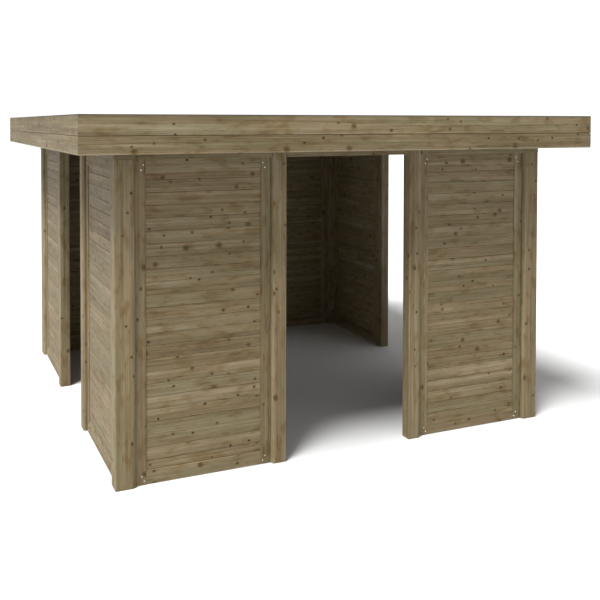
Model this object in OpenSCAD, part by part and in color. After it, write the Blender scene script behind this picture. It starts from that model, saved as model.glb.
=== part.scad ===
// Square garden pergola: four L-shaped corners of framed wall panels between
// posts, an open doorway in the middle of each side, and a flat roof with a
// two-board fascia. Millimetres. Origin at ground level, centre of the plan;
// the front faces -Y, the right side +X, up is +Z.

/* [Plan] */
// Width and depth over the outer faces of the corner posts
plan_w = 3200; // [2800:50:4000]
// Overhang of the roof beyond the posts, all round
overhang = 256; // [120:4:400]

/* [Posts] */
// Side of the square corner posts
corner_post_w = 128; // [100:2:150]
// Width of the jamb posts, along the wall
jamb_post_w = 102; // [80:2:130]
// Depth of the jamb posts and header beams, through the wall
jamb_post_d = 84; // [75:1:98]
// Thickness of the jamb post's tongue in front of the header beam
tongue_t = 24; // [18:1:30]

/* [Wall panels] */
// Width of one framed panel
panel_w = 900; // [600:10:1000]
// Thickness of the panel frame
frame_t = 45; // [40:1:48]
// Set-back of the panel frame from the outer post faces
frame_setback = 26; // [10:1:27]
// Width of the stiles
stile_w = 70; // [50:1:90]
// Height of the bottom rail
bottom_rail_h = 85; // [60:1:120]
// Height of the top rail
top_rail_h = 75; // [60:1:120]
// Thickness of the infill boards
board_t = 20; // [15:1:25]
// Set-back of the infill boards from the frame's outer face
board_setback = 6; // [3:1:12]

/* [Heights] */
// Underside of the header beams, the clear doorway height
head_z = 1995; // [1850:5:2300]
// Height of the header beams
header_h = 126; // [100:2:160]
// Height of the roof joists
joist_h = 120; // [95:1:150]
// Thickness of the roof deck
deck_t = 18; // [16:1:28]
// Thickness of the roof covering
covering_t = 5; // [3:1:8]

/* [Roof edge] */
// Thickness of the fascia boards
fascia_t = 22; // [18:1:28]
// Height of the upper fascia board
fascia_upper_h = 116; // [95:1:130]
// Height of the lower fascia board
fascia_lower_h = 109; // [80:1:125]
// Thickness of the rim boards behind the fascia
rim_t = 28; // [22:1:35]
// Height of the rim boards
rim_h = 180; // [150:2:200]
// Thickness of the roof joists
joist_t = 45; // [35:1:60]

/* [Hidden] */
half = plan_w / 2;
roof_w = plan_w + 2 * overhang;
rim_w = roof_w - 2 * fascia_t;
// distance of the jamb post's near side from the outer corner
jamb_off = corner_post_w + panel_w;
header_top = head_z + header_h;
joist_top = header_top + joist_h;
deck_top = joist_top + deck_t;
joist_x = half - jamb_post_d / 2;

// A side is built as the front one and turned: 0 front, 1 right, 2 rear, 3 left.
// u runs along the wall, seen from outside left to right, from the middle;
// w runs inwards from the outer face of the posts.
module side(k) rotate([0, 0, 90 * k]) translate([0, -half, 0]) children();

// Left end (e = -1) or right end (e = 1) of a side, seen from outside
module at_end(e) if (e < 0) children(); else mirror([1, 0, 0]) children();

module corner_post(k)
    color([0.45, 0.41, 0.30])
        side(k)
            translate([-half, 0, 0])
                cube([corner_post_w, corner_post_w, head_z]);

module jamb_post(k, e)
    color([0.46, 0.42, 0.31])
        side(k) at_end(e)
            translate([-half + jamb_off, 0, 0]) {
                cube([jamb_post_w, jamb_post_d, head_z]);
                cube([jamb_post_w, tongue_t, header_top]);
            }

module wall_panel(k, e)
    color([0.44, 0.40, 0.30])
        side(k) at_end(e)
            translate([-half + corner_post_w, frame_setback, 0])
                difference() {
                    cube([panel_w, frame_t, head_z]);
                    // outer recess down to the boards
                    translate([stile_w, -1, bottom_rail_h])
                        cube([panel_w - 2 * stile_w, 1 + board_setback,
                              head_z - bottom_rail_h - top_rail_h]);
                    // inner recess down to the boards
                    translate([stile_w, board_setback + board_t, bottom_rail_h])
                        cube([panel_w - 2 * stile_w, frame_t,
                              head_z - bottom_rail_h - top_rail_h]);
                }

// Front and rear beams run through at the corners, the side beams butt between
module header_beam(k) {
    len = (k % 2 == 0) ? plan_w : plan_w - 2 * jamb_post_d;
    color([0.43, 0.39, 0.29])
        side(k)
            difference() {
                translate([-len / 2, 0, head_z])
                    cube([len, jamb_post_d, header_h]);
                // housings for the jamb post tongues
                for (e = [-1, 1])
                    at_end(e)
                        translate([-half + jamb_off, -1, head_z - 1])
                            cube([jamb_post_w, 1 + tongue_t, header_h + 2]);
            }
}

module roof_joist(i)
    color([0.52, 0.47, 0.34])
        translate([-joist_x + (i - 1) * joist_x / 2 - joist_t / 2,
                   -rim_w / 2 + rim_t, header_top])
            cube([joist_t, rim_w - 2 * rim_t, joist_h]);

module rim_board(k) {
    len = (k % 2 == 0) ? rim_w : rim_w - 2 * rim_t;
    color([0.50, 0.45, 0.33])
        rotate([0, 0, 90 * k])
            translate([-len / 2, -rim_w / 2, joist_top - rim_h])
                cube([len, rim_t, rim_h]);
}

// Fascia board with mitred ends
module fascia(k, z, h)
    color([0.50, 0.46, 0.34])
        rotate([0, 0, 90 * k])
            translate([0, 0, z])
                linear_extrude(height = h)
                    polygon([[-roof_w / 2, -roof_w / 2],
                             [roof_w / 2, -roof_w / 2],
                             [rim_w / 2, -rim_w / 2],
                             [-rim_w / 2, -rim_w / 2]]);

module fascia_upper(k) fascia(k, deck_top - fascia_upper_h, fascia_upper_h);
module fascia_lower(k)
    fascia(k, deck_top - fascia_upper_h - fascia_lower_h, fascia_lower_h);

module roof_deck()
    color([0.55, 0.49, 0.35])
        translate([-rim_w / 2, -rim_w / 2, joist_top])
            cube([rim_w, rim_w, deck_t]);

module roof_covering()
    color([0.12, 0.12, 0.12])
        translate([-roof_w / 2, -roof_w / 2, deck_top])
            cube([roof_w, roof_w, covering_t]);

corner_post(0);  // corner_post_front_left
corner_post(1);  // corner_post_front_right
corner_post(2);  // corner_post_rear_right
corner_post(3);  // corner_post_rear_left
jamb_post(0, -1);  // jamb_post_front_left
jamb_post(0, 1);  // jamb_post_front_right
jamb_post(1, -1);  // jamb_post_right_front
jamb_post(1, 1);  // jamb_post_right_rear
jamb_post(2, -1);  // jamb_post_rear_right
jamb_post(2, 1);  // jamb_post_rear_left
jamb_post(3, -1);  // jamb_post_left_rear
jamb_post(3, 1);  // jamb_post_left_front
wall_panel(0, -1);  // wall_panel_front_left
wall_panel(0, 1);  // wall_panel_front_right
wall_panel(1, -1);  // wall_panel_right_front
wall_panel(1, 1);  // wall_panel_right_rear
wall_panel(2, -1);  // wall_panel_rear_right
wall_panel(2, 1);  // wall_panel_rear_left
wall_panel(3, -1);  // wall_panel_left_rear
wall_panel(3, 1);  // wall_panel_left_front
header_beam(0);  // header_beam_front
header_beam(1);  // header_beam_right
header_beam(2);  // header_beam_rear
header_beam(3);  // header_beam_left
roof_joist(1);  // roof_joist_1
roof_joist(2);  // roof_joist_2
roof_joist(3);  // roof_joist_3
roof_joist(4);  // roof_joist_4
roof_joist(5);  // roof_joist_5
rim_board(0);  // rim_board_front
rim_board(1);  // rim_board_right
rim_board(2);  // rim_board_rear
rim_board(3);  // rim_board_left
fascia_upper(0);  // fascia_upper_front
fascia_upper(1);  // fascia_upper_right
fascia_upper(2);  // fascia_upper_rear
fascia_upper(3);  // fascia_upper_left
fascia_lower(0);  // fascia_lower_front
fascia_lower(1);  // fascia_lower_right
fascia_lower(2);  // fascia_lower_rear
fascia_lower(3);  // fascia_lower_left
roof_deck();
roof_covering();
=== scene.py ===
# Garden pergola: the looks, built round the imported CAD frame. Metres, row frame.
import math, random
import bpy, bmesh
import numpy as np
from mathutils import Matrix, Vector


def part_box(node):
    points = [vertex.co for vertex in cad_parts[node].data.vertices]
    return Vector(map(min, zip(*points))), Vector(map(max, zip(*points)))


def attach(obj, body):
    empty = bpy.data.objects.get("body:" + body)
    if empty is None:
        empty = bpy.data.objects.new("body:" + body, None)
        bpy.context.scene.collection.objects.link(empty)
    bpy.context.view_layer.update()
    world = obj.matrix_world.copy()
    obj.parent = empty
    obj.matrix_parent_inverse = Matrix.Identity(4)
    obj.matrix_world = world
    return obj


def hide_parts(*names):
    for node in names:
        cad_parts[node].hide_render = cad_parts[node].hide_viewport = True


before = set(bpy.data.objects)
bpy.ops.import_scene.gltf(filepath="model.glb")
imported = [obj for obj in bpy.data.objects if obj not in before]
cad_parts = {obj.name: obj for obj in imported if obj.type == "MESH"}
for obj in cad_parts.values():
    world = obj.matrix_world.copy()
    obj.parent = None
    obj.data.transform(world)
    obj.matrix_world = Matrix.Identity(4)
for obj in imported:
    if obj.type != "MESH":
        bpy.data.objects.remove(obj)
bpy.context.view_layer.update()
scene = bpy.context.scene

# ------------------------------------------------------------------ camera
F_PX = 798.6                       # focal length for a 600 px wide picture
cam_data = bpy.data.cameras.new("camera")
cam_data.sensor_width = 36.0
cam_data.lens = F_PX / 600 * 36.0
cam_data.shift_x = 0.0720
cam_data.shift_y = -0.26
cam_data.clip_start, cam_data.clip_end = 0.05, 200
cam = bpy.data.objects.new("camera", cam_data)
scene.collection.objects.link(cam)
cam.location = (-2.643, -6.295, 2.215)
cam.rotation_euler = (math.radians(90 - 1.519), 0, math.radians(-22.68))
scene.camera = cam

# ------------------------------------------------------------------ sizes
STILE, RAIL_LO, RAIL_HI = 0.070, 0.085, 0.075
BOARD_BACK, BOARD_T = 0.006, 0.020
PITCH, FIRST = 0.0784, 0.144        # infill boards: cover height, first joint
TONGUE = 0.024
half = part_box("corner_post_front_right")[1].x
FASCIA_T = 0.022


# ------------------------------------------------------------------ mesh making
class Acc:
    """Collects closed pieces of one object, with what the wood material reads:
    wood_co (position in the tree, x along the grain), tone (lightness, warmth,
    edge streak), across (0 to 1 over the board's width) and a knot map in metres."""

    def __init__(self):
        self.v, self.f, self.co, self.tone, self.acr, self.uv, self.edge, self.mat = \
            [], [], [], [], [], [], [], []

    def add(self, bm, M, grain=0, seed=0, tone=(0, 0, 0), cross=2, mat=0):
        """grain and cross are local axes: along the grain and over the width."""
        rng = random.Random(seed * 7919 + 13)
        off = Vector((rng.uniform(0, 40), rng.uniform(0, 9), rng.uniform(0, 9)))
        uo = [(rng.uniform(0, 60), rng.uniform(0, 60)) for _ in range(7)]
        others = [a for a in range(3) if a != grain]
        bm.normal_update()
        bm.verts.index_update()
        base = len(self.v)
        cs = [v.co[cross] for v in bm.verts]
        c0, c1 = min(cs), max(cs)
        for v in bm.verts:
            self.v.append(tuple(M @ v.co))
            self.co.append((v.co[grain] + off.x, v.co[others[0]] + off.y,
                            v.co[others[1]] + off.z))
            self.tone.append((tone[0], tone[1], tone[2]))
            self.acr.append((v.co[cross] - c0) / max(c1 - c0, 1e-6))
        for f in bm.faces:
            self.f.append([base + v.index for v in f.verts])
            n = f.normal
            ax = max(range(3), key=lambda i: abs(n[i]))
            # arris is 1 on the eased edge faces; the wood material paints these faces lighter as a painted highlight
            self.edge.append(0.0 if abs(n[ax]) > 0.985 else 1.0)
            if ax == grain:
                p, q = others
            else:
                p, q = grain, [a for a in others if a != ax][0]
            o = uo[ax * 2 + (1 if n[ax] > 0 else 0)]
            for v in f.verts:
                self.uv.append((v.co[p] + o[0], v.co[q] + o[1]))
            self.mat.append(mat)
        bm.free()

    def make(self, name, mats):
        me = bpy.data.meshes.new(name)
        me.from_pydata(self.v, [], self.f)
        a = me.attributes.new("wood_co", "FLOAT_VECTOR", "POINT")
        a.data.foreach_set("vector", np.array(self.co, np.float32).ravel())
        a = me.attributes.new("tone", "FLOAT_VECTOR", "POINT")
        a.data.foreach_set("vector", np.array(self.tone, np.float32).ravel())
        a = me.attributes.new("across", "FLOAT", "POINT")
        a.data.foreach_set("value", np.array(self.acr, np.float32))
        a = me.attributes.new("arris", "FLOAT", "FACE")
        a.data.foreach_set("value", np.array(self.edge, np.float32))
        uv = me.uv_layers.new(name="knot_uv")
        uv.data.foreach_set("uv", np.array(self.uv, np.float32).ravel())
        for m in mats:
            me.materials.append(m)
        me.polygons.foreach_set("material_index", self.mat)
        me.update()
        ob = bpy.data.objects.new(name, me)
        scene.collection.objects.link(ob)
        return ob


def prism(poly, h, axis=2, bevel=0.0, seg=2):
    """Closed solid: poly is a closed outline in the two axes other than axis,
    drawn out along axis from 0 to h; every edge is eased by bevel."""
    bm = bmesh.new()
    a = [i for i in range(3) if i != axis]
    rings = []
    for t in (0.0, h):
        ring = []
        for p in poly:
            c = [0, 0, 0]
            c[axis], c[a[0]], c[a[1]] = t, p[0], p[1]
            ring.append(bm.verts.new(c))
        rings.append(ring)
    bm.faces.new(rings[0])
    bm.faces.new(rings[1])
    n = len(poly)
    for i in range(n):
        bm.faces.new((rings[0][i], rings[0][(i + 1) % n], rings[1][(i + 1) % n], rings[1][i]))
    bmesh.ops.recalc_face_normals(bm, faces=bm.faces[:])
    if bevel:
        bmesh.ops.bevel(bm, geom=bm.edges[:], offset=bevel, segments=seg, profile=0.5,
                        affect="EDGES", clamp_overlap=True)
        bmesh.ops.recalc_face_normals(bm, faces=bm.faces[:])
    return bm


def rounded(x0, x1, y0, y1, radii):
    """Outline of a rectangle with its own radius at each corner, anticlockwise
    from (x0, y0)."""
    pts = []
    for (cx, cy, a0), r in zip(((x0, y0, 180), (x1, y0, 270), (x1, y1, 0), (x0, y1, 90)), radii):
        ox = cx + (r if cx == x0 else -r)
        oy = cy + (r if cy == y0 else -r)
        n = 7 if r > 0.015 else 4
        for i in range(n + 1):
            a = math.radians(a0 + 90 * i / n)
            pts.append((ox + r * math.cos(a), oy + r * math.sin(a)))
    return pts


def ease_ends(bm, off):
    """Small chamfer round the flat end faces of an upright piece."""
    bm.normal_update()
    es = {e for f in bm.faces if abs(f.normal.z) > 0.99 for e in f.edges}
    bmesh.ops.bevel(bm, geom=list(es), offset=off, segments=1, profile=0.5, affect="EDGES", clamp_overlap=True)
    bmesh.ops.recalc_face_normals(bm, faces=bm.faces[:])
    return bm


def jamb(x0, x1, y0, y1, z0, z1, z2, panel_lo):
    """Post with its front part running on up as a tongue; the edge beside the
    panel has the large round."""
    R, r = 0.022, 0.008
    rad = (R, r, r, 0.010) if panel_lo else (r, R, 0.010, r)
    pts = rounded(x0, x1, y0, y1, rad)
    yt = y0 + TONGUE
    front = [q for q in pts if q[1] < yt - 1e-6]
    back = [q for q in pts if q[1] >= yt - 1e-6]
    front = [(x0, yt)] + front + [(x1, yt)]
    bm = bmesh.new()
    ring0 = [bm.verts.new((x, y, z0)) for x, y in front + back]
    ring1 = [bm.verts.new((x, y, z1)) for x, y in front + back]
    n, m = len(ring0), len(front)
    ring2 = [bm.verts.new((x, y, z2)) for x, y in front]
    bm.faces.new(list(reversed(ring0)))
    for i in range(n):
        j = (i + 1) % n
        bm.faces.new((ring0[i], ring0[j], ring1[j], ring1[i]))
    for i in range(m - 1):
        bm.faces.new((ring1[i], ring1[i + 1], ring2[i + 1], ring2[i]))
    bm.faces.new((ring1[m - 1], ring1[0], ring2[0], ring2[m - 1]))
    bm.faces.new(ring2)
    bm.faces.new([ring1[0], ring1[m - 1]] + ring1[m:])
    bmesh.ops.recalc_face_normals(bm, faces=bm.faces[:])
    return ease_ends(bm, 0.0015)


def block(x0, x1, y0, y1, z0, z1, bevel=0.002, seg=2):
    bm = prism([(x0, y0), (x1, y0), (x1, y1), (x0, y1)], z1 - z0, 2, bevel, seg)
    bmesh.ops.translate(bm, verts=bm.verts[:], vec=(0, 0, z0))
    return bm


def side_matrix(k):
    """Local (u, w, z) of side k to the row frame: u along the wall, w inwards."""
    return Matrix.Rotation(math.radians(90 * k), 4, "Z") @ Matrix.Translation((0, -half, 0))


def local_box(node, k):
    lo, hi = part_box(node)
    inv = side_matrix(k).inverted()
    a, b = inv @ lo, inv @ hi
    return (Vector(map(min, a, b)), Vector(map(max, a, b)))


# ------------------------------------------------------------------ materials
class Nodes:
    """Small helper for node trees."""

    def __init__(self, name):
        self.m = bpy.data.materials.new(name)
        self.m.use_nodes = True
        self.t = self.m.node_tree
        self.t.nodes.clear()

    def n(self, kind, **kw):
        nd = self.t.nodes.new(kind)
        for k, v in kw.items():
            if k.startswith("in_"):
                nd.inputs[k[3:].replace("_", " ")].default_value = v
            else:
                setattr(nd, k, v)
        return nd

    def link(self, a, b):
        self.t.links.new(a, b)

    def math(self, op, a, b=None, c=None, clamp=False):
        nd = self.t.nodes.new("ShaderNodeMath")
        nd.operation = op
        nd.use_clamp = clamp
        for i, x in enumerate((a, b, c)):
            if x is None:
                continue
            if isinstance(x, (int, float)):
                nd.inputs[i].default_value = x
            else:
                self.link(x, nd.inputs[i])
        return nd.outputs[0]

    def vec(self, x, y, z):
        nd = self.t.nodes.new("ShaderNodeCombineXYZ")
        for i, v in enumerate((x, y, z)):
            if isinstance(v, (int, float)):
                nd.inputs[i].default_value = v
            else:
                self.link(v, nd.inputs[i])
        return nd.outputs[0]

    def noise(self, vector, detail=2.0, rough=0.5, dims="3D"):
        nd = self.t.nodes.new("ShaderNodeTexNoise")
        nd.noise_dimensions = dims
        nd.inputs["Scale"].default_value = 1.0
        nd.inputs["Detail"].default_value = detail
        nd.inputs["Roughness"].default_value = rough
        self.link(vector, nd.inputs["Vector"])
        return nd.outputs["Fac"]

    def range(self, v, a, b, c=0.0, d=1.0, smooth=True):
        nd = self.t.nodes.new("ShaderNodeMapRange")
        nd.interpolation_type = "SMOOTHSTEP" if smooth else "LINEAR"
        self.link(v, nd.inputs["Value"])
        for key, x in (("From Min", a), ("From Max", b), ("To Min", c), ("To Max", d)):
            if isinstance(x, (int, float)):
                nd.inputs[key].default_value = x
            else:
                self.link(x, nd.inputs[key])
        return nd.outputs["Result"]

    def ramp(self, v, stops):
        nd = self.t.nodes.new("ShaderNodeValToRGB")
        el = nd.color_ramp.elements
        while len(el) < len(stops):
            el.new(0.5)
        for e, (p, c) in zip(el, stops):
            e.position = p
            e.color = (*c, 1)
        self.link(v, nd.inputs["Fac"])
        return nd.outputs["Color"]

    def mix(self, fac, a, b, mode="MIX"):
        nd = self.t.nodes.new("ShaderNodeMix")
        nd.data_type = "RGBA"
        nd.blend_type = mode
        for i, x in ((0, fac), (6, a), (7, b)):
            if isinstance(x, (int, float)):
                nd.inputs[i].default_value = x
            elif isinstance(x, tuple):
                nd.inputs[i].default_value = (*x, 1)
            else:
                self.link(x, nd.inputs[i])
        return nd.outputs[2]

    def out(self, bsdf):
        o = self.t.nodes.new("ShaderNodeOutputMaterial")
        self.link(bsdf, o.inputs["Surface"])
        return self.m


def wood(name, dark, mid, light, contrast=1.0, knots=1.0, rough=0.60, sawn=0.0, low_edge_highlight=0.0,
         dashes=0.26, spec=0.20):
    """Treated pine: streaks along the grain, broad bands, mottling and knots, and optionally a painted highlight along
    the lower edge.
    """
    N = Nodes(name)
    co = N.n("ShaderNodeAttribute", attribute_name="wood_co").outputs["Vector"]
    tone = N.n("ShaderNodeAttribute", attribute_name="tone").outputs["Vector"]
    acr = N.n("ShaderNodeAttribute", attribute_name="across").outputs["Fac"]
    arr = N.n("ShaderNodeAttribute", attribute_name="arris").outputs["Fac"]
    uvn = N.n("ShaderNodeUVMap", uv_map="knot_uv").outputs["UV"]
    s = N.n("ShaderNodeSeparateXYZ"); N.link(co, s.inputs[0])
    t = N.n("ShaderNodeSeparateXYZ"); N.link(tone, t.inputs[0])
    q = N.n("ShaderNodeSeparateXYZ"); N.link(uvn, q.inputs[0])
    a, c1, c2 = s.outputs
    light_v, warm_v, streak_v = t.outputs

    # knots: one per cell of an irregular grid, some cells bare
    K = 1 / 0.118
    kv = N.vec(N.math("MULTIPLY", q.outputs[0], K * 0.86), N.math("MULTIPLY", q.outputs[1], K), 0.0)
    vo = N.n("ShaderNodeTexVoronoi", voronoi_dimensions="2D", feature="F1")
    vo.inputs["Scale"].default_value = 1.0
    vo.inputs["Randomness"].default_value = 1.0
    N.link(kv, vo.inputs["Vector"])
    cr = N.n("ShaderNodeSeparateColor"); N.link(vo.outputs["Color"], cr.inputs[0])
    wob = N.noise(N.vec(N.math("MULTIPLY", q.outputs[0], 90), N.math("MULTIPLY", q.outputs[1], 90), 0.0), 2, 0.5, "2D")
    d = N.math("MULTIPLY", vo.outputs["Distance"], 1 / K)
    d = N.math("ADD", d, N.math("MULTIPLY", N.math("SUBTRACT", wob, 0.5), 0.006))
    has = N.math("LESS_THAN", cr.outputs[0], 0.50 * knots)
    big = N.math("POWER", cr.outputs[1], 5.0)
    r = N.math("ADD", 0.0054, N.math("MULTIPLY", big, 0.0075))
    core = N.math("MULTIPLY", N.range(d, N.math("MULTIPLY", r, 1.12), N.math("MULTIPLY", r, 0.72)), has)
    halo = N.math("MULTIPLY", N.range(d, N.math("MULTIPLY", r, 2.4), r), has)
    # some knots are dead and almost black, others live and brown
    live = N.math("MAXIMUM", N.range(cr.outputs[2], 0.45, 0.75), N.range(big, 0.12, 0.3))

    # grain, bent a little by slow waves and round the knots
    w0 = N.noise(N.vec(N.math("MULTIPLY", a, 1.1), N.math("MULTIPLY", c1, 9), N.math("MULTIPLY", c2, 9)), 2)
    bend = N.math("ADD", N.math("MULTIPLY", N.math("SUBTRACT", w0, 0.5), 0.020),
                  N.math("MULTIPLY", halo, 0.0045))
    b1, b2 = N.math("ADD", c1, bend), N.math("ADD", c2, bend)

    def grain(sa, sc, detail, rough_=0.55):
        return N.noise(N.vec(N.math("MULTIPLY", a, sa), N.math("MULTIPLY", b1, sc), N.math("MULTIPLY", b2, sc)), detail, rough_)

    band = grain(0.45, 24, 2)
    ring = grain(0.8, 88, 3, 0.6)
    fibre = grain(3.0, 300, 3, 0.65)
    mott = N.noise(N.vec(N.math("MULTIPLY", a, 2.4), N.math("MULTIPLY", c1, 7), N.math("MULTIPLY", c2, 7)), 3)
    hue = N.noise(N.vec(N.math("MULTIPLY", a, 0.9), N.math("MULTIPLY", c1, 16), N.math("MULTIPLY", c2, 16)), 2)

    def part(x, k):
        return N.math("MULTIPLY", N.math("SUBTRACT", x, 0.5), k * contrast)

    v = N.math("ADD", 0.5, part(band, 0.75))
    v = N.math("ADD", v, part(ring, 0.9))
    v = N.math("ADD", v, part(fibre, 0.8))
    v = N.math("ADD", v, part(mott, 0.5))
    # blotches a hand long, browner where the treatment took less
    blot = N.noise(N.vec(N.math("MULTIPLY", a, 8), N.math("MULTIPLY", c1, 22), N.math("MULTIPLY", c2, 22)), 2)
    v = N.math("SUBTRACT", v, N.range(blot, 0.5, 0.72, 0.0, 0.24))
    # short dark dashes of resin and late wood
    dash = N.noise(N.vec(N.math("MULTIPLY", a, 11), N.math("MULTIPLY", b1, 190), N.math("MULTIPLY", b2, 190)), 2, 0.6)
    v = N.math("SUBTRACT", v, N.range(dash, 0.56, 0.72, 0.0, dashes))
    v = N.math("ADD", v, light_v)
    # a pale streak near one edge of some boards
    edge_s = N.math("MULTIPLY", N.math("MULTIPLY", N.range(acr, 0.42, 0.62), N.range(acr, 0.99, 0.90)), streak_v)
    edge_s = N.math("MULTIPLY", edge_s, N.range(mott, 0.3, 0.55, 0.45, 1.0))
    v = N.math("ADD", v, edge_s)
    # painted highlight: eased edge faces are made a little lighter in colour
    v = N.math("ADD", v, N.math("MULTIPLY", arr, 0.06))
    # painted highlight: a lighter band along the lower edge of each board, standing in for light caught on that edge
    if low_edge_highlight:
        v = N.math("ADD", v, N.range(acr, 0.12, 0.05, 0.0, low_edge_highlight))
    v = N.math("SUBTRACT", v, N.math("MULTIPLY", halo, 0.22))
    v = N.math("MAXIMUM", N.math("MINIMUM", v, 1.0), 0.0)
    col = N.ramp(v, [(0.0, dark), (0.5, mid), (1.0, light)])
    # warm and cool drift from board to board and along each
    warm = N.range(N.math("ADD", hue, warm_v), 0.35, 0.68)
    col = N.mix(N.math("MULTIPLY", warm, 0.5), col, (1.07, 0.985, 0.92), "MULTIPLY")
    cool = N.range(N.math("ADD", hue, warm_v), 0.55, 0.30)
    col = N.mix(N.math("MULTIPLY", cool, 0.5), col, (0.94, 1.02, 0.98), "MULTIPLY")
    col = N.mix(N.range(blot, 0.48, 0.7, 0.0, 0.6), col, (1.10, 0.975, 0.82), "MULTIPLY")
    col = N.mix(N.math("MULTIPLY", halo, 0.5), col, (0.70, 0.56, 0.32), "MULTIPLY")
    pith = N.mix(live, (0.014, 0.0085, 0.002), (0.050, 0.031, 0.010))
    col = N.mix(N.math("MULTIPLY", core, N.math("SUBTRACT", 0.95, N.math("MULTIPLY", live, 0.25))), col, pith)

    bs = N.n("ShaderNodeBsdfPrincipled")
    N.link(col, bs.inputs["Base Color"])
    bs.inputs["Specular IOR Level"].default_value = spec
    rr = N.math("ADD", N.math("MULTIPLY", N.math("SUBTRACT", ring, 0.5), 0.22), rough)
    N.link(rr, bs.inputs["Roughness"])
    h = N.math("ADD", N.math("MULTIPLY", ring, 0.55), N.math("MULTIPLY", fibre, 0.45 + sawn))
    h = N.math("SUBTRACT", h, N.math("MULTIPLY", core, 0.4))
    bump = N.n("ShaderNodeBump")
    bump.inputs["Strength"].default_value = 0.35
    bump.inputs["Distance"].default_value = 0.0016
    N.link(h, bump.inputs["Height"])
    N.link(bump.outputs["Normal"], bs.inputs["Normal"])
    return N.out(bs.outputs["BSDF"])


DARK, MID, LIGHT = (0.069, 0.049, 0.0205), (0.143, 0.1110, 0.0595), (0.246, 0.205, 0.135)


def tint(c, k):
    return tuple(x * k for x in c)


M_POST = wood("pine_post", tint(DARK, 1.06), tint(MID, 1.06), tint(LIGHT, 1.06), contrast=1.1, dashes=0.12)
M_PANEL = wood("pine_panel", tint(DARK, 1.04), tint(MID, 1.04), tint(LIGHT, 1.04), contrast=0.92)
M_CORNER = wood("pine_corner_post", tint(DARK, 1.12), tint(MID, 1.13), tint(LIGHT, 1.12), contrast=1.1, dashes=0.12)
M_BEAM = wood("pine_beam", DARK, tint(MID, 0.97), tint(LIGHT, 0.95))
M_FASCIA = wood("pine_fascia", DARK, MID, LIGHT, contrast=1.1)
# the lower fascia boards get a painted highlight along their lower edge
M_FASCIA_LO = wood("pine_fascia_lower", tint(DARK, 0.96), tint(MID, 0.96), tint(LIGHT, 0.97), contrast=1.0, low_edge_highlight=0.35)
M_ROOF = wood("pine_roof", DARK, tint(MID, 1.1), tint(LIGHT, 1.15), rough=0.85, sawn=0.5, spec=0.04)
M_DECK = wood("pine_deck", tint(DARK, 1.1), tint(MID, 1.15), tint(LIGHT, 1.2), rough=0.85, sawn=0.5, spec=0.04)


def felt():
    N = Nodes("roof_felt")
    co = N.n("ShaderNodeAttribute", attribute_name="wood_co").outputs["Vector"]
    vo = N.n("ShaderNodeTexVoronoi", feature="F1")
    vo.inputs["Scale"].default_value = 420.0
    N.link(co, vo.inputs["Vector"])
    cr = N.n("ShaderNodeSeparateColor"); N.link(vo.outputs["Color"], cr.inputs[0])
    n1 = N.n("ShaderNodeTexNoise"); n1.inputs["Scale"].default_value = 1.7; n1.inputs["Detail"].default_value = 5
    N.link(co, n1.inputs["Vector"])
    v = N.math("ADD", N.math("MULTIPLY", cr.outputs[0], 0.6), N.math("MULTIPLY", n1.outputs["Fac"], 0.5))
    col = N.ramp(v, [(0.0, (0.012, 0.012, 0.013)), (0.55, (0.032, 0.032, 0.034)), (1.0, (0.085, 0.084, 0.083))])
    bs = N.n("ShaderNodeBsdfPrincipled")
    bs.inputs["Specular IOR Level"].default_value = 0.3
    N.link(N.math("ADD", 0.78, N.math("MULTIPLY", cr.outputs[1], 0.2)), bs.inputs["Roughness"])
    N.link(col, bs.inputs["Base Color"])
    bump = N.n("ShaderNodeBump")
    bump.inputs["Strength"].default_value = 0.5
    bump.inputs["Distance"].default_value = 0.001
    N.link(vo.outputs["Distance"], bump.inputs["Height"])
    N.link(bump.outputs["Normal"], bs.inputs["Normal"])
    return N.out(bs.outputs["BSDF"])


def steel():
    N = Nodes("screw_steel")
    tc = N.n("ShaderNodeTexCoord")
    n1 = N.n("ShaderNodeTexNoise"); n1.inputs["Scale"].default_value = 600.0; n1.inputs["Detail"].default_value = 3
    N.link(tc.outputs["Object"], n1.inputs["Vector"])
    col = N.ramp(n1.outputs["Fac"], [(0.2, (0.42, 0.41, 0.39)), (0.8, (0.68, 0.67, 0.65))])
    bs = N.n("ShaderNodeBsdfPrincipled")
    bs.inputs["Metallic"].default_value = 1.0
    N.link(col, bs.inputs["Base Color"])
    N.link(N.range(n1.outputs["Fac"], 0.2, 0.8, 0.22, 0.42), bs.inputs["Roughness"])
    return N.out(bs.outputs["BSDF"])


M_FELT = felt()
M_STEEL = steel()


def put(ob, slot_name, *nodes):
    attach(ob, "root")
    if nodes:
        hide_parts(*nodes)
    return ob


seed_no = [0]


def next_seed():
    seed_no[0] += 1
    return seed_no[0]


def rnd_tone(seed, l=0.05, w=0.06, streak=0.0):
    r = random.Random(seed * 104729 + 7)
    # a pale sapwood streak shows on about every third board
    sap = r.uniform(0.7, 1.7) * streak if streak and r.random() < 0.36 else 0.0
    return (r.gauss(0, l), r.gauss(0, w), sap)


# ------------------------------------------------------------------ posts
SIDES = ["front", "right", "rear", "left"]
ENDS = {0: ("left", "right"), 1: ("front", "rear"), 2: ("right", "left"), 3: ("rear", "front")}
corner_names = ["front_left", "front_right", "rear_right", "rear_left"]

for k, cn in enumerate(corner_names):
    node = "corner_post_" + cn
    lo, hi = local_box(node, k)
    sd = next_seed()
    acc = Acc()
    bm = prism(rounded(lo.x, hi.x, lo.y, hi.y, (0.008, 0.022, 0.008, 0.022)), hi.z - lo.z)
    bmesh.ops.translate(bm, verts=bm.verts[:], vec=(0, 0, lo.z))
    acc.add(ease_ends(bm, 0.0015), side_matrix(k), 2, sd, rnd_tone(sd, 0.03, 0.04), 0)
    put(acc.make("post_corner_" + cn, [M_CORNER]), "post_timber", node)

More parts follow.
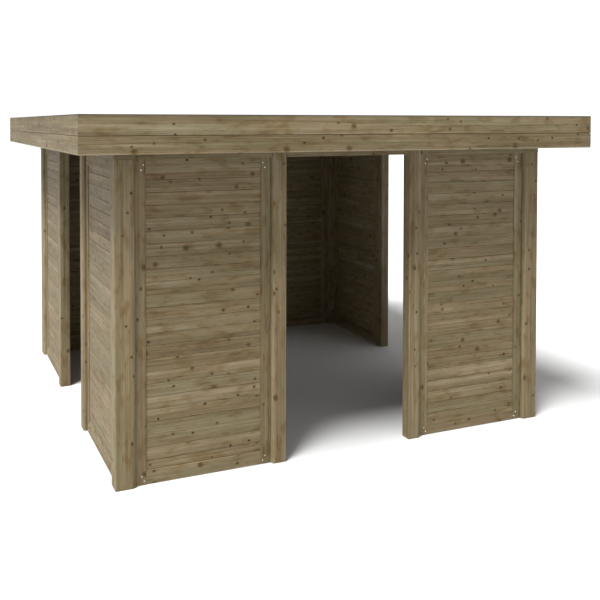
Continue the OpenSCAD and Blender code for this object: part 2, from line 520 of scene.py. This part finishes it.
for k in range(4):
    for e in (0, 1):
        tag = SIDES[k] + "_" + ENDS[k][e]
        node = "jamb_post_" + tag
        lo, hi = local_box(node, k)
        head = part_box("corner_post_front_left")[1].z
        sd = next_seed()
        acc = Acc()
        bm = jamb(lo.x, hi.x, lo.y, hi.y, lo.z, head, hi.z, (lo.x + hi.x) < 0)
        acc.add(bm, side_matrix(k), 2, sd, rnd_tone(sd, 0.03, 0.04), 0)
        put(acc.make("post_jamb_" + tag, [M_POST]), "post_timber", node)


# ------------------------------------------------------------------ wall panels
def board_profile(H, T, c=0.0026):
    """Tongued board with V joints on both faces, outline in (w, z)."""
    s, g = 0.0005, 0.0062
    return [(0, c + s), (0, H - c - s), (c, H - s), (g, H - s), (g, H), (T - g, H), (T - g, H - s),
            (T - c, H - s), (T, H - c - s), (T, c + s), (T - c, s), (T - g, s), (T - g, 0), (g, 0),
            (g, s), (c, s)]


def screw_head(acc, M, x, y, z, r, turn, outward):
    """Pan head with a cross recess, axis along local w."""
    bm = bmesh.new()
    seg = 20
    prof = [(0.0, 1.02), (0.62, 0.92), (0.90, 0.55), (1.0, 0.12), (1.0, -0.5)]
    hgt = r * 0.42
    rings = []
    for rr, hh in prof[1:]:
        rings.append([bm.verts.new((x + r * rr * math.cos(2 * math.pi * i / seg),
                                    y - outward * hgt * hh,
                                    z + r * rr * math.sin(2 * math.pi * i / seg))) for i in range(seg)])
    # cross recess: an inner ring pulled in at four lobes, then a sunk floor
    inner, floor = [], []
    for i in range(seg):
        an = 2 * math.pi * i / seg
        lobe = abs(math.cos(2 * (an - turn)))
        ri = r * (0.16 + 0.34 * lobe ** 3)
        inner.append(bm.verts.new((x + ri * math.cos(an), y - outward * hgt * 0.99, z + ri * math.sin(an))))
        floor.append(bm.verts.new((x + ri * 0.7 * math.cos(an), y - outward * hgt * 0.15, z + ri * 0.7 * math.sin(an))))
    chain = [floor, inner] + rings
    for A, B in zip(chain, chain[1:]):
        for i in range(seg):
            j = (i + 1) % seg
            bm.faces.new((A[i], A[j], B[j], B[i]))
    bm.faces.new(floor)
    bm.faces.new(list(reversed(rings[-1])))
    bmesh.ops.recalc_face_normals(bm, faces=bm.faces[:])
    acc.add(bm, M, 0, 1, (0, 0, 0), 2)


for k in range(4):
    for e in (0, 1):
        tag = SIDES[k] + "_" + ENDS[k][e]
        node = "wall_panel_" + tag
        lo, hi = local_box(node, k)
        M = side_matrix(k)
        # frame: stiles run through, rails between them
        acc = Acc()
        for x0, x1 in ((lo.x, lo.x + STILE), (hi.x - STILE, hi.x)):
            sd = next_seed()
            acc.add(block(x0, x1, lo.y, hi.y, lo.z, hi.z, 0.0022, 2), M, 2, sd, rnd_tone(sd, 0.04, 0.05), 0)
        for z0, z1 in ((lo.z, lo.z + RAIL_LO), (hi.z - RAIL_HI, hi.z)):
            sd = next_seed()
            acc.add(block(lo.x + STILE, hi.x - STILE, lo.y, hi.y, z0, z1, 0.0022, 2), M, 0, sd,
                    rnd_tone(sd, 0.04, 0.05), 2)
        put(acc.make("panel_frame_" + tag, [M_PANEL]), "panel_timber", node)
        # infill boards
        acc = Acc()
        z = FIRST - PITCH
        while z < hi.z - RAIL_HI - 0.001:
            sd = next_seed()
            rr = random.Random(sd)
            dw = rr.uniform(-0.0004, 0.0004)
            bm = prism(board_profile(PITCH, BOARD_T, rr.choice((0.0009, 0.0014, 0.0020, 0.0028))), (hi.x - lo.x) - 2 * STILE + 0.012, 0)
            bmesh.ops.translate(bm, verts=bm.verts[:],
                                vec=(lo.x + STILE - 0.006, lo.y + BOARD_BACK + dw, z))
            acc.add(bm, M, 0, sd, rnd_tone(sd, 0.032, 0.07, 0.13), 2)
            z += PITCH
        put(acc.make("panel_boards_" + tag, [M_PANEL]), "panel_timber", node)
        # frame screws, two at each corner of the outer face
        acc = Acc()
        for sx in (-1, 1):
            for z_, dx in ((lo.z + 0.053, 0.042), (lo.z + 0.023, 0.057), (hi.z - 0.065, 0.042), (hi.z - 0.034, 0.057)):
                x = lo.x + dx if sx < 0 else hi.x - dx
                screw_head(acc, M, x, lo.y, z_, 0.0052, (x * 37 + z_ * 11) % 1.5, 1)
        put(acc.make("panel_screws_" + tag, [M_STEEL]), None)

# ------------------------------------------------------------------ header beams
for k in range(4):
    node = "header_beam_" + SIDES[k]
    lo, hi = local_box(node, k)
    jl = [local_box("jamb_post_%s_%s" % (SIDES[k], ENDS[k][e]), k) for e in (0, 1)]
    pts = [(lo.x, lo.y)]
    for a, b in jl:
        pts += [(a.x, lo.y), (a.x, lo.y + TONGUE), (b.x, lo.y + TONGUE), (b.x, lo.y)]
    pts += [(hi.x, lo.y), (hi.x, hi.y), (lo.x, hi.y)]
    bm = prism(pts, hi.z - lo.z, 2, 0.0022, 2)
    bmesh.ops.translate(bm, verts=bm.verts[:], vec=(0, 0, lo.z))
    sd = next_seed()
    acc = Acc()
    acc.add(bm, side_matrix(k), 0, sd, rnd_tone(sd, 0.03, 0.04), 2)
    put(acc.make("header_" + SIDES[k], [M_BEAM]), "beam_timber", node)

# ------------------------------------------------------------------ roof timbers
for i in range(1, 6):
    node = "roof_joist_%d" % i
    lo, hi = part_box(node)
    sd = next_seed()
    acc = Acc()
    acc.add(block(lo.x, hi.x, lo.y, hi.y, lo.z, hi.z, 0.002, 1), Matrix.Identity(4), 1, sd, rnd_tone(sd), 2)
    put(acc.make("joist_%d" % i, [M_ROOF]), "roof_timber", node)
for k in range(4):
    node = "rim_board_" + SIDES[k]
    lo, hi = local_box(node, k)
    sd = next_seed()
    acc = Acc()
    acc.add(block(lo.x, hi.x, lo.y, hi.y, lo.z, hi.z, 0.002, 1), side_matrix(k), 0, sd, rnd_tone(sd), 2)
    put(acc.make("rim_" + SIDES[k], [M_ROOF]), "roof_timber", node)

# fascia: mitred boards with eased edges and a hairline mitre gap
for k in range(4):
    for part in ("upper", "lower"):
        node = "fascia_%s_%s" % (part, SIDES[k])
        lo, hi = local_box(node, k)
        g = 0.0004
        gap = 0.0038 if part == "lower" else 0.0       # shadow line between the boards
        bm = prism([(lo.x + g, lo.y), (hi.x - g, lo.y), (hi.x - FASCIA_T - g, hi.y), (lo.x + FASCIA_T + g, hi.y)],
                   hi.z - lo.z - gap, 2, 0.0022, 2)
        bmesh.ops.translate(bm, verts=bm.verts[:], vec=(0, 0, lo.z))
        sd = next_seed()
        acc = Acc()
        acc.add(bm, side_matrix(k), 0, sd, rnd_tone(sd, 0.03, 0.04, 0.0), 2)
        # the strip in the gap between the boards is painted dark (lightness -0.6): painted shade at the back of the
        # shadow line
        if gap:
            b = 0.005
            bm = prism([(lo.x + g + b, lo.y + b), (hi.x - g - b, lo.y + b), (hi.x - FASCIA_T - g, hi.y),
                        (lo.x + FASCIA_T + g, hi.y)], gap + 0.0005, 2)
            bmesh.ops.translate(bm, verts=bm.verts[:], vec=(0, 0, hi.z - gap - 0.0005))
            acc.add(bm, side_matrix(k), 0, sd, (-0.6, 0, 0), 2)
        put(acc.make("fascia_%s_board_%s" % (part, SIDES[k]), [M_FASCIA if part == "upper" else M_FASCIA_LO]), "fascia_timber", node)

# deck: separate boards across the joists
lo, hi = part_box("roof_deck")
acc = Acc()
nb = 30
bw = (hi.y - lo.y) / nb
for i in range(nb):
    sd = next_seed()
    y0 = lo.y + i * bw
    bm = block(lo.x, hi.x, y0 + 0.0003, y0 + bw - 0.0003, lo.z, hi.z, 0.0025, 1)
    acc.add(bm, Matrix.Identity(4), 0, sd, rnd_tone(sd, 0.06, 0.06), 1)
put(acc.make("deck_boards", [M_DECK]), "deck_boards", "roof_deck")

# felt: overlapping strips across the roof, dressed over the fascia top
lo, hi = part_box("roof_covering")
acc = Acc()
strip, lap, n = 0.98, 0.08, 4
t_felt = (hi.z - lo.z) * 0.55
y0 = lo.y
for i in range(n):
    y1 = hi.y if i == n - 1 else y0 + strip + lap
    up = 0.0 if i % 2 == 0 else (hi.z - lo.z) - t_felt
    bm = bmesh.new()
    # a thin slab that steps up onto the strip before it at the lap
    zt = lo.z + t_felt
    prof = []
    if i == 0:
        prof = [(y0, lo.z), (y1, lo.z), (y1, zt), (y0, zt)]
    else:
        prof = [(y0, zt), (y0 + lap, zt), (y0 + lap + 0.012, lo.z), (y1, lo.z), (y1, zt),
                (y0 + lap + 0.018, zt), (y0 + lap, hi.z), (y0, hi.z)]
    bm.free()
    q = 0.045                                   # the edge trim takes the rim
    prof = [(min(max(a, lo.y + q), hi.y - q), b) for a, b in prof]
    bm = prism(prof, hi.x - lo.x - 2 * q, 0)
    bmesh.ops.translate(bm, verts=bm.verts[:], vec=(lo.x + q, 0, 0))
    acc.add(bm, Matrix.Identity(4), 0, next_seed(), (0, 0, 0), 1)
    y0 = y1 - lap
put(acc.make("felt_strips", [M_FELT]), "roof_felt", "roof_covering")
acc = Acc()
for k in range(4):
    h, w = hi.x, 0.045
    bm = prism([(-h, 0), (h, 0), (h - w, w), (-h + w, w)], hi.z - lo.z, 2, 0.0012, 1)
    bmesh.ops.translate(bm, verts=bm.verts[:], vec=(0, -h, lo.z))
    acc.add(bm, Matrix.Rotation(math.radians(90 * k), 4, "Z"), 0, next_seed(), (0, 0, 0), 1)
put(acc.make("felt_edge_trim", [M_FELT]), "roof_felt")

# ------------------------------------------------------------------ floor, world, lights
def floor_mat():
    N = Nodes("stage_floor")
    tc = N.n("ShaderNodeTexCoord")
    n1 = N.n("ShaderNodeTexNoise"); n1.inputs["Scale"].default_value = 0.6
    N.link(tc.outputs["Object"], n1.inputs["Vector"])
    col = N.ramp(n1.outputs["Fac"], [(0.0, (0.52, 0.52, 0.52)), (1.0, (0.53, 0.53, 0.53))])
    bs = N.n("ShaderNodeBsdfDiffuse")
    N.link(col, bs.inputs["Color"])
    return N.out(bs.outputs["BSDF"])


fm = bpy.data.meshes.new("stage_floor")
S = 60
fm.from_pydata([(-S, -S, 0), (S, -S, 0), (S, S, 0), (-S, S, 0)], [], [(0, 1, 2, 3)])
fm.materials.append(floor_mat())
floor = bpy.data.objects.new("stage_floor", fm)
floor.location.z = -0.0008
scene.collection.objects.link(floor)

world = bpy.data.worlds.new("studio")
scene.world = world
world.use_nodes = True
wt = world.node_tree
wt.nodes.clear()
lp = wt.nodes.new("ShaderNodeLightPath")
b_cam = wt.nodes.new("ShaderNodeBackground"); b_cam.inputs["Color"].default_value = (1, 1, 1, 1); b_cam.inputs["Strength"].default_value = 1.05
b_lit = wt.nodes.new("ShaderNodeBackground"); b_lit.inputs["Color"].default_value = (1, 1, 1, 1); b_lit.inputs["Strength"].default_value = 0.67
mx = wt.nodes.new("ShaderNodeMixShader")
wo = wt.nodes.new("ShaderNodeOutputWorld")
wt.links.new(lp.outputs["Is Camera Ray"], mx.inputs[0])
wt.links.new(b_lit.outputs[0], mx.inputs[1])
wt.links.new(b_cam.outputs[0], mx.inputs[2])
wt.links.new(mx.outputs[0], wo.inputs[0])

sun_d = bpy.data.lights.new("key", "SUN")
sun_d.energy = 7.0
sun_d.angle = math.radians(21)
sun = bpy.data.objects.new("key", sun_d)
scene.collection.objects.link(sun)
AZ, EL = 28.5, 64.0                 # from the left, this far round to the front; height
src = Vector((-math.cos(math.radians(AZ)) * math.cos(math.radians(EL)),
              -math.sin(math.radians(AZ)) * math.cos(math.radians(EL)), math.sin(math.radians(EL))))
sun.rotation_mode = "QUATERNION"
sun.rotation_quaternion = src.to_track_quat("Z", "Y")

scene.view_settings.view_transform = "Standard"
scene.view_settings.look = "None"
